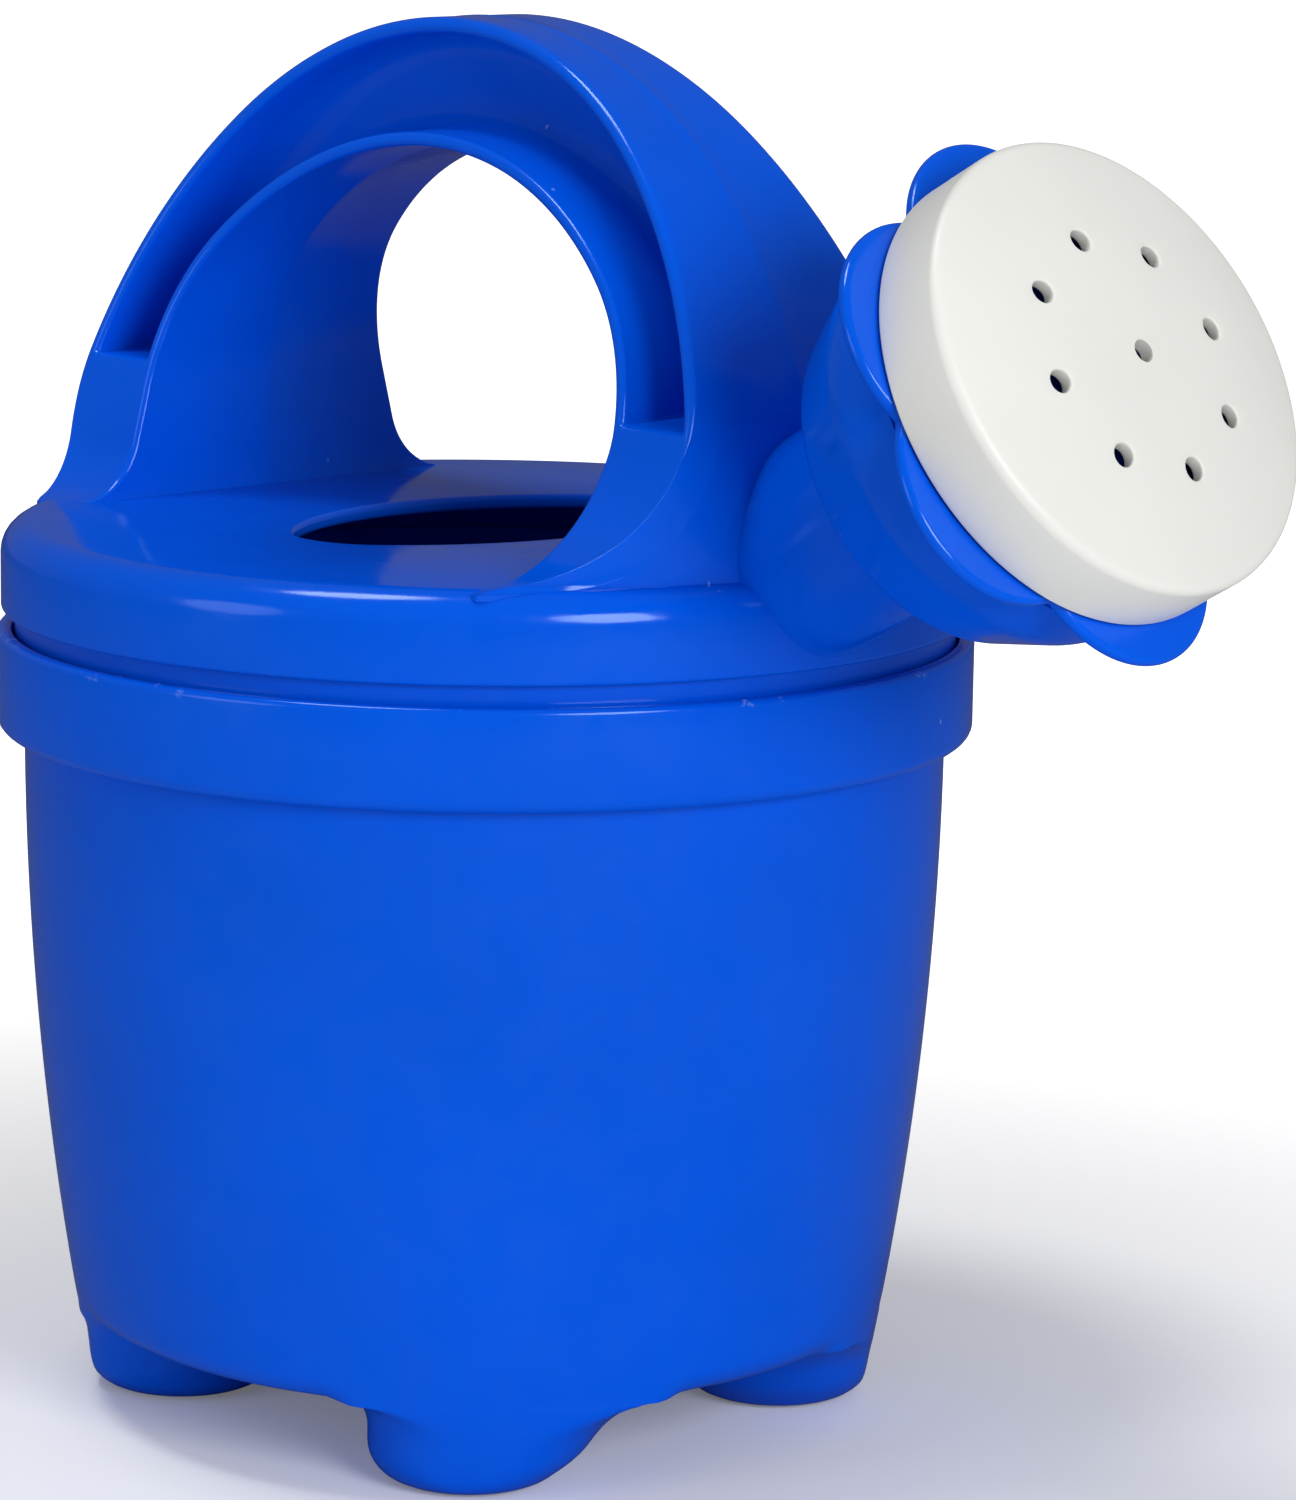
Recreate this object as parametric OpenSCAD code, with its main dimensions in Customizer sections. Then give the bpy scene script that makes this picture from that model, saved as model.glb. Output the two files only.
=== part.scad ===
// Small children's watering can: a round tub on four feet, a press-on lid moulded in one
// with its arch handle and spout neck, a push-on rose cup with a petal flange, and the
// perforated rose face. Millimetres. Origin on the ground under the tub's centre,
// +Z up, +X towards the spout.

/* [Tub] */
// Outer radius of the tub's rim band
rim_r = 62; // [40:0.5:110]
// Height of the rim above the ground
rim_z = 100; // [60:1:200]
// Height of the thick rim band
band_h = 12.6; // [8:0.1:25]
// How far the band stands out from the tub's wall
band_step = 3.5; // [2:0.1:8]
// Wall thickness of the tub and its feet
wall = 1.8; // [1.2:0.1:4]
// Radius of the gentle barrel curve of the wall, seen from the side
barrel_r = 440; // [250:5:2000]

/* [Feet] */
// Height of the feet below the tub's floor
foot_h = 11.8; // [4:0.2:30]
// Outer radius of one foot
foot_r = 12.4; // [7:0.1:20]
// Rounding at the bottom of each foot
foot_round = 4.5; // [1:0.1:8]

/* [Lid] */
// Height of the lid's top above the tub's rim
lid_top = 13.6; // [8:0.2:25]
// Shadow gap between the tub's rim and the lid's side
lid_gap = 2.5; // [0.5:0.1:6]
// Wall thickness of the lid
lid_wall = 1.8; // [1.2:0.1:4]
// How far the lid's side stands back from the tub's band
lid_inset = 0.6; // [0:0.1:3]
// Rounding of the lid's shoulder
lid_round = 2.6; // [1:0.1:5]
// Radial clearance of the lid's plug in the band
plug_clear = 0.3; // [0.05:0.05:1]
// Half width of the fill opening along the spout direction
fill_x = 18; // [8:0.5:30]
// Half width of the fill opening across the spout direction
fill_y = 29; // [10:0.5:40]

/* [Handle] */
// Height of the handle's crown above the rim
arch_z = 77; // [50:0.5:140]
// How far the arch's ends stand in from the lid's side
arch_inset = 3.2; // [1:0.1:12]
// Half width of the handle at the crown
arch_top_w = 7.5; // [5:0.1:15]
// Lean of the handle's side faces, widening downwards
arch_lean = 15; // [5:0.5:25]
// Radius of the concave flare where a side face runs out into the lid
flare_r = 23.5; // [10:0.5:40]
// Width of each leg in the side view, outer face to hand opening
leg_w = 14.8; // [8:0.1:30]
// Height of the crown in the side view, outer face to hand opening
crown_h = 16; // [10:0.5:30]
// Thickness of the outer strip of the handle
strip_t = 2.7; // [1.5:0.1:5]
// Thickness of the inner ring around the hand opening
ring_t = 2.4; // [1.5:0.1:5]
// Thickness of the web between them
web_t = 2.4; // [1.5:0.1:5]
// Height above the rim where the side recesses end
ledge_z = 31; // [20:0.5:60]

/* [Spout] */
// Angle of the spout above the horizontal
tilt = 29.5; // [10:0.5:60]
// Depth below the rim where the spout's axis meets the can's axis
spout_drop = 16; // [0:0.5:40]
// Outer radius of the spout neck
neck_r = 13; // [8:0.1:20]
// Wall thickness of the neck
neck_wall = 1.8; // [1:0.1:3]

/* [Rose] */
// Distance along the spout's axis from the lid's side to the edge of the rose face
rose_reach = 48.8; // [38:0.2:120]
// Outer radius of the rose face
face_r = 28; // [18:0.2:45]
// Height of the rose face's skirt
skirt_h = 9.6; // [5:0.1:20]
// Wall thickness of the rose face
face_wall = 1.8; // [1:0.1:4]
// Radius of the face's slight dome
dome_r = 110; // [60:1:400]
// Number of holes in the ring
hole_count = 8; // [4:1:12]
// Radius of the ring of holes
hole_ring_r = 14.4; // [6:0.1:22]
// Diameter of one hole
hole_d = 2.8; // [1:0.1:5]
// Turn of the ring of holes about the axis
hole_turn = 8.6; // [0:0.2:45]
// Outer radius of the rose cup at its rear
cup_r = 21; // [15:0.2:35]
// Length of the rose cup behind its flange
cup_len = 20.5; // [10:0.5:40]
// Length of the cup's straight part in front of its bell
cup_mouth_len = 8.5; // [4:0.5:15]
// Rounding at the rear of the cup
cup_round = 3; // [1:0.1:5]
// Wall thickness of the rose cup
cup_wall = 1.7; // [1:0.1:4]
// Length of the neck inside the rose cup
neck_in = 12; // [6:0.5:18]
// Length of the collar that carries the rose face
collar_len = 6; // [3:0.2:12]
// Number of petals on the flange
petals = 6; // [4:1:9]
// How far the petal tips stand out from the rose face
petal_out = 4.5; // [2:0.1:12]
// Radius of one petal's round end
petal_r = 14.3; // [8:0.1:20]
// Thickness of the petal flange
petal_t = 1.7; // [1:0.1:4]
// Radial clearance of the push fits on the spout
push_clear = 0.1; // [0.05:0.05:0.4]

/* [Hidden] */
$fn = 64;
blue = [0.02, 0.30, 0.86];
white = [0.88, 0.89, 0.87];
eps = 0.01;
// Arcs and lines that run into each other cross by this much, so that they meet at a definite point
lap = 0.02;

// tub
wall_r = rim_r - band_step;
band_z = rim_z - band_h;
band_in_r = rim_r - wall - 0.2;
ledge_top = band_z + wall;
band_round = 3;
lip_round = 0.8;
// outer radius of the barrel wall at height z
function wall_at(z) = wall_r - barrel_r + sqrt(barrel_r * barrel_r - (band_z - z) * (band_z - z));
foot_c = wall_at(foot_h / 2) - foot_r;
foot_angles = [45, 135, 225, 315];

// lid
lid_r = rim_r - lid_inset;
lid_z = rim_z + lid_top;
plug_r = band_in_r - plug_clear;
plug_in_r = plug_r - lid_wall;
seat_gap = 0.1;
side_in_r = lid_r - lid_wall;
side_z = rim_z + lid_gap + lid_wall;

// handle: an oval outline of four arcs, standing on the lid
arch_a = lid_r - arch_inset;
arch_b = arch_z - lid_top;
arch_end = min(0.926 * arch_a, 0.85 * arch_b);
tunnel_x = arch_a - leg_w;
tunnel_z = arch_z - crown_h;
tunnel_rise = 0.7 * (tunnel_z - lid_top);
tunnel_end = min(0.622 * tunnel_x, 0.813 * tunnel_rise);
tunnel_z0 = rim_z + tunnel_z - tunnel_rise;
flare_zc = lid_z + flare_r + 0.2;
crown_z = rim_z + arch_z;
lean_z = flare_zc - flare_r * sin(arch_lean);
lean_w = arch_top_w + (crown_z - lean_z) * tan(arch_lean);
flare_yc = lean_w + flare_r * cos(arch_lean);
leg_r = lid_r - 1.6;
leg_wall = 2.2;

// spout and rose, all measured along the spout's axis
root_z = rim_z - spout_drop;
rose_d = lid_r / cos(tilt) + rose_reach;
flange_d = rose_d - skirt_h - petal_t - 0.3;
cup_d = flange_d - cup_len;
neck_end_d = cup_d + neck_in;
neck_bore_r = neck_r - neck_wall;
collar_r = face_r - face_wall - push_clear;
mouth_r = face_r - face_wall;
mouth_in_r = collar_r - cup_wall;
mouth_d = flange_d - cup_mouth_len;
collar_end_d = flange_d + petal_t + collar_len;
lobe_c = face_r + petal_out - petal_r;
disc_r = face_r - 1.2;

// Oval of four arcs lying along X: half length a, half height b, end radius e.
module long_oval(a, b, e) {
    big = ((a - e) * (a - e) + b * b - e * e) / (2 * (b - e));
    touch = big * (a - e) / (big - e);
    intersection() {
        translate([0, b - big]) circle(r = big);
        translate([0, big - b]) circle(r = big);
        square([2 * touch, 4 * b], center = true);
    }
    for (s = [-1, 1]) translate([s * (a - e), 0]) circle(r = e + lap);
}

// Oval of half size a along X and b along Y, whichever is longer.
module oval(a, b, e) {
    if (a > b) long_oval(a, b, e);
    else rotate(90) long_oval(b, a, e);
}

// Stands an outline drawn in X and Z upright and gives it depth 2*d across Y.
module upright(d) {
    rotate([90, 0, 0]) linear_extrude(height = 2 * d, center = true) children();
}

// Places its children on the spout's axis, d from the can's axis, their Z along it.
module on_spout(d) {
    translate([0, 0, root_z]) rotate([0, 90 - tilt, 0]) translate([0, 0, d]) children();
}

// Half section of the barrel wall, thinned by t, from height z0 to z1.
module barrel_half(t, z0, z1) {
    intersection() {
        translate([0, z0]) square([wall_r - t, z1 - z0]);
        translate([wall_r - barrel_r, band_z]) circle(r = barrel_r - t, $fn = 720);
    }
}

// Square corner [x, y] rounded with radius r towards smaller x and larger y.
module corner_cut(x, y, r) {
    difference() {
        translate([x - r, y - 1]) square([r + 1, r + 1]);
        translate([x - r, y + r]) circle(r = r);
    }
}

module foot_solid(t, floor_z) {
    r = foot_r - t;
    k = foot_round - t;
    rotate_extrude() difference() {
        translate([0, t]) square([r, floor_z - t]);
        corner_cut(r, t, k);
    }
}

module bucket() {
    color(blue) difference() {
        union() {
            rotate_extrude() union() {
                barrel_half(0, foot_h, band_z + 1);
                difference() {
                    translate([0, band_z]) square([rim_r, band_h]);
                    corner_cut(rim_r, band_z, band_round);
                    translate([0, 2 * rim_z]) mirror([0, 1]) corner_cut(rim_r, rim_z, lip_round);
                }
            }
            for (a = foot_angles) rotate(a) translate([foot_c, 0, 0]) foot_solid(0, foot_h + wall);
        }
        rotate_extrude() union() {
            barrel_half(wall, foot_h + wall, ledge_top + eps);
            translate([0, ledge_top]) square([band_in_r, band_h]);
        }
        for (a = foot_angles) rotate(a) translate([foot_c, 0, 0]) foot_solid(wall, foot_h + wall + 1);
    }
}

// Outline of the handle in X and Z, shrunk by t.
module arch_outline(t) {
    translate([0, lid_z]) oval(arch_a - t, arch_b - t, arch_end - t);
}

// Outline of the hand opening in X and Z, grown by t.
module tunnel_outline(t) {
    translate([0, tunnel_z0]) oval(tunnel_x + t, tunnel_rise + t, tunnel_end + t);
    translate([-tunnel_x - t, lid_z - lid_top]) square([2 * (tunnel_x + t), tunnel_z0 - lid_z + lid_top]);
}

// Section of the handle across Y: leaning side faces that flare out into the lid, shrunk by t.
module flare_section(t) {
    w = flare_yc - (flare_r + t) * cos(arch_lean);
    zl = flare_zc - (flare_r + t) * sin(arch_lean);
    wt = w - (crown_z + 1 - zl) * tan(arch_lean);
    wb = w + (zl - lid_z) * tan(arch_lean);
    difference() {
        union() {
            polygon([[-wb, lid_z], [wb, lid_z], [wt, crown_z + 1], [-wt, crown_z + 1]]);
            translate([-flare_yc, lid_z - lid_top]) square([2 * flare_yc, zl - lid_z + lid_top]);
        }
        for (s = [-1, 1]) translate([s * flare_yc, flare_zc]) circle(r = flare_r + t + lap);
    }
}

// The handle's two legs and crown as one solid block, shrunk by t and standing from height z0.
module arch_block(t, z0) {
    intersection() {
        upright(rim_r) arch_outline(t);
        rotate([90, 0, 90]) linear_extrude(height = 2 * rim_r, center = true) flare_section(t);
        translate([0, 0, z0]) cylinder(r = leg_r - t, h = crown_z - z0 + 1);
    }
}

// Recess in each side face of the handle, between the outer strip and the inner ring.
module recess() {
    upright(rim_r) difference() {
        arch_outline(strip_t);
        tunnel_outline(ring_t);
        translate([-rim_r, 0]) square([2 * rim_r, rim_z + ledge_z]);
    }
}

// Lid without its handle and neck: top, side and the plug that goes down into the band.
module lid_shell() {
    rotate_extrude() difference() {
        union() {
            translate([0, rim_z + lid_gap]) square([lid_r, lid_top - lid_gap]);
            translate([0, ledge_top + seat_gap]) square([plug_r, side_z - ledge_top - seat_gap]);
        }
        translate([0, 2 * lid_z]) mirror([0, 1]) corner_cut(lid_r, lid_z, lid_round);
        translate([0, side_z]) square([side_in_r, lid_z - lid_wall - side_z]);
        translate([0, ledge_top]) square([plug_in_r, side_z - ledge_top + eps]);
    }
}

// Keeps only what lies spoutwards of x.
module beyond(x) {
    intersection() {
        children();
        translate([x, -2 * rim_r, rim_z + lid_gap]) cube(4 * rim_r);
    }
}

// Space inside the two hollow legs, open to the lid's underside.
module leg_space() {
    difference() {
        arch_block(leg_wall, lid_z - lid_wall - 1);
        upright(rim_r) tunnel_outline(leg_wall);
        translate([0, 0, rim_z + ledge_z + rim_r - leg_wall]) cube(2 * rim_r, center = true);
    }
}

module lid() {
    color(blue) difference() {
        union() {
            lid_shell();
            difference() {
                arch_block(0, lid_z - lid_round);
                difference() {
                    recess();
                    cube([3 * rim_r, web_t, 3 * crown_z], center = true);
                }
                upright(rim_r) difference() {
                    tunnel_outline(0);
                    translate([-rim_r, 0]) square([2 * rim_r, lid_z]);
                }
            }
            beyond(tunnel_x + leg_wall / 2) on_spout(0) cylinder(r = neck_r, h = neck_end_d);
        }
        translate([0, 0, side_z]) cylinder(r = side_in_r, h = lid_z - lid_wall - side_z);
        cylinder(r = plug_in_r, h = side_z + eps);
        translate([0, 0, lid_z - 2 * lid_wall]) linear_extrude(height = 4 * lid_wall)
            oval(fill_x, fill_y, 0.62 * fill_x);
        leg_space();
        beyond(tunnel_x + leg_wall) on_spout(0) cylinder(r = neck_bore_r, h = neck_end_d + 1);
    }
}

// Half section of the rose cup's bell: straight at the rear, widening from r to r_mouth, straight in front.
module bell_half(r, r_mouth, d0, d1) {
    polygon([[0, d0], [r, d0], [r, cup_d + cup_round], [r_mouth, mouth_d], [r_mouth, d1], [0, d1]]);
}

module rose_cup() {
    color(blue) on_spout(0) difference() {
        union() {
            rotate_extrude() difference() {
                bell_half(cup_r, mouth_r, cup_d, flange_d + petal_t);
                corner_cut(cup_r, cup_d, cup_round);
            }
            translate([0, 0, flange_d]) cylinder(r = disc_r, h = petal_t);
            for (i = [0:petals - 1]) rotate(i * 360 / petals)
                translate([lobe_c, 0, flange_d]) cylinder(r = petal_r, h = petal_t);
            translate([0, 0, flange_d]) cylinder(r = collar_r, h = petal_t + collar_len);
        }
        difference() {
            rotate_extrude() bell_half(cup_r - cup_wall, mouth_in_r, cup_d + cup_wall, collar_end_d + 1);
            cylinder(r = neck_r + push_clear + cup_wall, h = neck_end_d);
        }
        cylinder(r = neck_r + push_clear, h = 3 * rose_d);
    }
}

module rose_face() {
    color(white) on_spout(0) difference() {
        rotate_extrude() difference() {
            intersection() {
                translate([0, rose_d - skirt_h]) square([face_r, skirt_h + dome_rise()]);
                translate([0, rose_d + dome_rise() - dome_r]) circle(r = dome_r, $fn = 360);
            }
            intersection() {
                translate([0, rose_d - skirt_h - 1]) square([face_r - face_wall, 2 * skirt_h]);
                translate([0, rose_d + dome_rise() - dome_r]) circle(r = dome_r - face_wall, $fn = 360);
            }
            translate([0, rose_d + dome_rise()]) mirror([0, 1]) corner_cut(face_r, dome_rise(), 0.8);
        }
        translate([0, 0, rose_d - skirt_h]) cylinder(d = hole_d, h = 2 * skirt_h);
        for (i = [0:hole_count - 1]) rotate(180 + hole_turn + i * 360 / hole_count)
            translate([hole_ring_r, 0, rose_d - skirt_h]) cylinder(d = hole_d, h = 2 * skirt_h);
    }
}

// Height of the face's dome above its edge.
function dome_rise() = dome_r - sqrt(dome_r * dome_r - face_r * face_r);

bucket();
lid();
rose_cup();
rose_face();
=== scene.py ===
"""Small plastic watering can: the looks of its four moulded pieces, as a Blender add-on.

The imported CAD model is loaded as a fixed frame. Every length is in metres and every piece is
worked out in place, with the can's axis on Z, the ground at z = 0 and the spout towards +X.
"""

import math

import bmesh
import bpy
import numpy as np
from bpy.props import FloatProperty, FloatVectorProperty, IntProperty, PointerProperty, StringProperty
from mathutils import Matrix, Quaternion, Vector


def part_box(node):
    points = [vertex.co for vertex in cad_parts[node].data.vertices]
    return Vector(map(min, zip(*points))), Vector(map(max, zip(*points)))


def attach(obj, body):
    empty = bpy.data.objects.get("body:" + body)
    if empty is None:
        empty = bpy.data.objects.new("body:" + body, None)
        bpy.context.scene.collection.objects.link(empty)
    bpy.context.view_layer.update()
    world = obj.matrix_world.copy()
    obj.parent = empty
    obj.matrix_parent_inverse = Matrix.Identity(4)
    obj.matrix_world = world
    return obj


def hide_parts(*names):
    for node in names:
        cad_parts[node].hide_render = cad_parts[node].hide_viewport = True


bl_info = {
    "name": "Watering can",
    "version": (1, 0, 0),
    "blender": (4, 5, 0),
    "location": "3D View > Sidebar > Watering can",
    "description": "Tub, lid with arch handle and spout neck, rose cup and rose face of a small watering can",
    "category": "Add Mesh",
}

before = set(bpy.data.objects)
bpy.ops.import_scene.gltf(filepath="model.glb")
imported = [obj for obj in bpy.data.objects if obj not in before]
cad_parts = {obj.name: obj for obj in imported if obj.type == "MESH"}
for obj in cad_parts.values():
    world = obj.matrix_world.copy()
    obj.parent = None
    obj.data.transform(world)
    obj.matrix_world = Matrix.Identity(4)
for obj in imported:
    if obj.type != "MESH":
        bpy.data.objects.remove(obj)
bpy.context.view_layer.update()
TUB_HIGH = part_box("bucket")[1]
LID_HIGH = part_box("lid")[1]


def length(name, text, default, **more):
    """A length that the sidebar shows in scene units."""
    return FloatProperty(name=name, description=text, default=default, min=0.0, subtype="DISTANCE",
        unit="LENGTH", **more)


# ---------------------------------------------------------------- sizes and colours


class TubSizes(bpy.types.PropertyGroup):
    rim_radius: length("Rim radius", "Outer radius of the band round the rim", TUB_HIGH.y)
    rim_height: length("Rim height", "Height of the rim above the ground", TUB_HIGH.z)
    band_height: length("Band height", "Height of the thick band", 0.0126)
    band_step: length("Band step", "How far the band stands out from the wall", 0.0035)
    band_round: length("Band rounding", "Rounding of the band's lower edge", 0.003)
    wall: length("Wall", "Thickness of the wall, the floor and the feet", 0.0018)
    barrel: length("Barrel radius", "Radius of the wall's gentle curve in a side view", 0.440)
    floor: length("Floor height", "Height of the floor's underside", 0.0118)
    floor_round: length("Floor edge rounding", "Rounding between wall and floor", 0.0036)
    foot_radius: length("Foot radius", "Radius of one round foot", 0.0126)
    foot_out: length("Foot distance", "Distance of a foot's middle from the tub's axis", 0.0385)
    foot_round: length("Foot rounding", "Rounding at a foot's bottom", 0.0045)
    foot_fillet: length("Foot fillet", "Fillet between a foot and the floor", 0.0055)
    foot_slope: length("Foot slope",
        "How far a foot's side towards the spout's plane slopes out at the floor", 0.0075)


class LidSizes(bpy.types.PropertyGroup):
    radius: length("Radius", "Outer radius of the lid", LID_HIGH.y)
    top: length("Top", "Height of the lid's top above the rim", 0.0136)
    gap: length("Shadow gap", "Gap between the rim and the lid's side", 0.0025)
    wall: length("Wall", "Thickness of the lid", 0.0018)
    shoulder: length("Shoulder", "Rounding between the lid's top and side", 0.0040)
    plug_radius: length("Plug radius", "Outer radius of the plug that goes into the tub", 0.0597)
    plug_foot: length("Plug foot", "Height of the plug's lower edge above the ground", 0.0893)
    fill_x: length("Opening, along", "Half size of the fill opening along the spout", 0.018)
    fill_y: length("Opening, across", "Half size of the fill opening across the spout", 0.029)


class HandleSizes(bpy.types.PropertyGroup):
    half_span: length("Half span", "Half width of the arch at the lid", 0.0582)
    end: length("Crown radius", "Radius of the arch's round crown", 0.0539)
    hand_x: length("Hand opening, half width", "Half width of the hand opening", 0.0422)
    hand_top: length("Hand opening, top", "Height of the hand opening's crown above the rim", 0.061)
    hand_rise: length("Hand opening, rise", "Height of its rounded part", 0.0332)
    hand_end: length("Hand opening, side radius", "Radius at the sides of its rounded part", 0.027)
    top_width: length("Crown half width", "Half width of the handle at its crown", 0.0075)
    lean: FloatProperty(name="Lean", description="Lean of the side faces", default=math.radians(15),
        subtype="ANGLE", unit="ROTATION")
    flare: length("Flare radius", "Radius with which the spout-side leg's side faces run out into the lid",
        0.0235)
    rear_flare: length("Rear fillet", "Radius with which the rear leg's side faces run out into the lid",
        0.0100)
    strip: length("Outer strip", "Thickness of the outer strip", 0.0020)
    ring: length("Inner ring", "Thickness of the ring round the hand opening", 0.0018)
    web: length("Web", "Half thickness of the web between them", 0.0012)
    ledge: length("Ledge", "Height of the recess's lower end above the rim", 0.031)
    leg_radius: length("Leg radius", "Radius to which the spout-side leg's outer face is turned", 0.0586)
    rear_radius: length("Rear leg radius", "Radius to which the rear leg's outer face is turned", 0.0602)


class SpoutSizes(bpy.types.PropertyGroup):
    tilt: FloatProperty(name="Tilt", description="Spout axis above the horizontal",
        default=math.radians(29.5), subtype="ANGLE", unit="ROTATION")
    drop: length("Drop", "Depth below the rim where the spout's axis meets the tub's axis", 0.016)
    neck_radius: length("Neck radius", "Outer radius of the neck", 0.013)
    neck_wall: length("Neck wall", "Wall thickness of the neck", 0.0018)
    neck_root: length("Neck root", "Distance along the axis where the neck starts inside the lid", 0.061)
    neck_end: length("Neck end", "Distance along the axis where the neck ends", 0.0992)
    face_at: length("Face distance", "Distance along the axis of the rose face's edge", 0.11934)
    face_radius: length("Face radius", "Outer radius of the rose face", 0.028)
    face_skirt: length("Face skirt", "Height of the rose face's skirt", 0.0096)
    face_wall: length("Face wall", "Wall thickness of the rose face", 0.0018)
    face_dome: length("Face dome", "Radius of the face's slight dome", 0.11)
    hole_radius: length("Hole radius", "Radius of one hole", 0.0014)
    hole_ring: length("Ring of holes", "Radius of the ring of holes", 0.0144)
    holes: IntProperty(name="Holes", description="Number of holes in the ring", default=8, min=3, max=16)
    hole_turn: FloatProperty(name="Turn", description="Turn of the ring of holes",
        default=math.radians(8.6), subtype="ANGLE", unit="ROTATION")
    cup_rear: length("Cup rear radius", "Radius of the rose cup's rear", 0.0210)
    cup_mouth: length("Cup mouth radius", "Radius of the rose cup at its flange", 0.0262)
    cup_length: length("Cup length", "Length of the cup behind its flange", 0.0205)
    mouth_length: length("Cup mouth length", "Length of the cup's straight part behind the flange", 0.0085)
    cup_wall: length("Cup wall", "Wall thickness of the cup", 0.0017)
    flange: length("Flange", "Thickness of the petal flange", 0.0017)
    petals: IntProperty(name="Petals", description="Number of petals", default=6, min=3, max=12)
    petal_reach: length("Petal reach", "Distance of a petal's tip from the axis", 0.0325)
    petal_radius: length("Petal radius", "Radius of one petal's round end", 0.0143)
    collar: length("Collar", "Length of the collar that carries the rose face", 0.006)


class Finishes(bpy.types.PropertyGroup):
    blue: StringProperty(name="Blue", description="sRGB hex colour of the blue polypropylene",
        default="#0055DC")
    white: StringProperty(name="White", description="sRGB hex colour of the white polypropylene",
        default="#E2E3DE")
    floor: StringProperty(name="Floor", description="sRGB hex colour of the studio floor", default="#F4F4F4")
    blue_gloss: FloatProperty(name="Blue roughness", description="Roughness of the glossy blue",
        default=0.12, min=0.02, max=1.0)
    white_gloss: FloatProperty(name="White roughness", description="Roughness of the satin white",
        default=0.42, min=0.02, max=1.0)


class StageSettings(bpy.types.PropertyGroup):
    camera: FloatVectorProperty(name="Camera", description="Where the camera stands",
        default=(0.5061, -0.4777, 0.2124), subtype="TRANSLATION", unit="LENGTH")
    turn: FloatProperty(name="Turn", description="How far right of the can's axis the camera looks",
        default=math.radians(1.71), subtype="ANGLE", unit="ROTATION")
    pitch: FloatProperty(name="Pitch", description="How far down the camera looks",
        default=math.radians(10.45), subtype="ANGLE", unit="ROTATION")
    roll: FloatProperty(name="Roll", description="Clockwise roll of the camera", default=math.radians(0.9),
        subtype="ANGLE", unit="ROTATION")
    lens: FloatProperty(name="Lens", description="Focal length for a 36 mm long side", default=132.9,
        min=10.0, max=400.0)
    key: FloatProperty(name="Key light", description="Power of the large soft light", default=7.0, min=0.0,
        unit="POWER")
    sky: FloatProperty(name="Surroundings", description="Strength of the surroundings' light", default=0.30,
        min=0.0)
    shine: FloatProperty(name="Shine", description="Strength of the surroundings in reflections",
        default=0.10, min=0.0)
    backdrop: FloatProperty(name="Backdrop", description="Brightness of the surroundings behind the can",
        default=1.0, min=0.0)


# ---------------------------------------------------------------- shapes as arrays


def smooth_min(a, b, k):
    """Smaller of a and b, rounded off over a width k where they are close."""
    h = np.clip(0.5 + 0.5 * (b - a) / k, 0.0, 1.0)
    return b * (1 - h) + a * h - k * h * (1 - h)


def smooth_max(a, b, k):
    """Larger of a and b, rounded off over a width k where they are close."""
    return -smooth_min(-a, -b, k)


def rounded(corners, radii, steps=5):
    """Closed outlines through corners (..., n, 2). Each corner becomes an arc of steps pieces that
    touches both of its sides: its middle lies on the corner's bisector, radius / sin(half angle) out."""
    corners = np.asarray(corners, float)
    a = np.roll(corners, 1, -2) - corners
    b = np.roll(corners, -1, -2) - corners
    la = np.maximum(np.linalg.norm(a, axis=-1), 1e-9)
    lb = np.maximum(np.linalg.norm(b, axis=-1), 1e-9)
    a, b = a / la[..., None], b / lb[..., None]
    half = 0.5 * np.arccos(np.clip((a * b).sum(-1), -1.0, 0.999999))
    reach = np.minimum(np.broadcast_to(radii, half.shape) / np.tan(half), 0.48 * np.minimum(la, lb))
    start, end = corners + a * reach[..., None], corners + b * reach[..., None]
    bisector = a + b
    bisector /= np.maximum(np.linalg.norm(bisector, axis=-1), 1e-9)[..., None]
    middle = corners + bisector * (reach / np.maximum(np.cos(half), 1e-9))[..., None]
    sweep = np.maximum(np.pi - 2 * half, 1e-3)[..., None]
    t = np.linspace(0.0, 1.0, steps + 1)
    from_a, from_b = np.sin((1 - t) * sweep) / np.sin(sweep), np.sin(t * sweep) / np.sin(sweep)
    arc = middle[..., None, :] + from_a[..., None] * (start - middle)[..., None, :]
    arc = arc + from_b[..., None] * (end - middle)[..., None, :]
    straight = start[..., None, :] * (1 - t)[:, None] + end[..., None, :] * t[:, None]
    flat = (sweep < 0.02)[..., None]
    points = np.where(flat, straight, arc)
    return points.reshape(*corners.shape[:-2], -1, 2)


def grid(points, round_rows=False, round_columns=False):
    """Patch (points, quads) from an array (rows, columns, 3); either way round can be closed."""
    rows, columns = points.shape[:2]
    i = np.arange(rows if round_rows else rows - 1)[:, None]
    j = np.arange(columns if round_columns else columns - 1)[None, :]
    i2, j2 = (i + 1) % rows, (j + 1) % columns
    corners = (i * columns + j, i2 * columns + j, i2 * columns + j2, i * columns + j2)
    quads = np.stack(np.broadcast_arrays(*corners), -1)
    return points.reshape(-1, 3), quads.reshape(-1, 4)


def turned(profile, angles):
    """Surface of revolution (rows, columns, 3): each profile point (radius, height) goes round Z."""
    r, z = profile[:, 0][:, None], profile[:, 1][:, None]
    return np.stack([r * np.cos(angles), r * np.sin(angles), z + 0 * angles], -1)


def spin_z(points, angle):
    """Points turned about Z by an angle."""
    c, s = math.cos(angle), math.sin(angle)
    return points @ np.array([[c, s, 0], [-s, c, 0], [0, 0, 1]])


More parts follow.
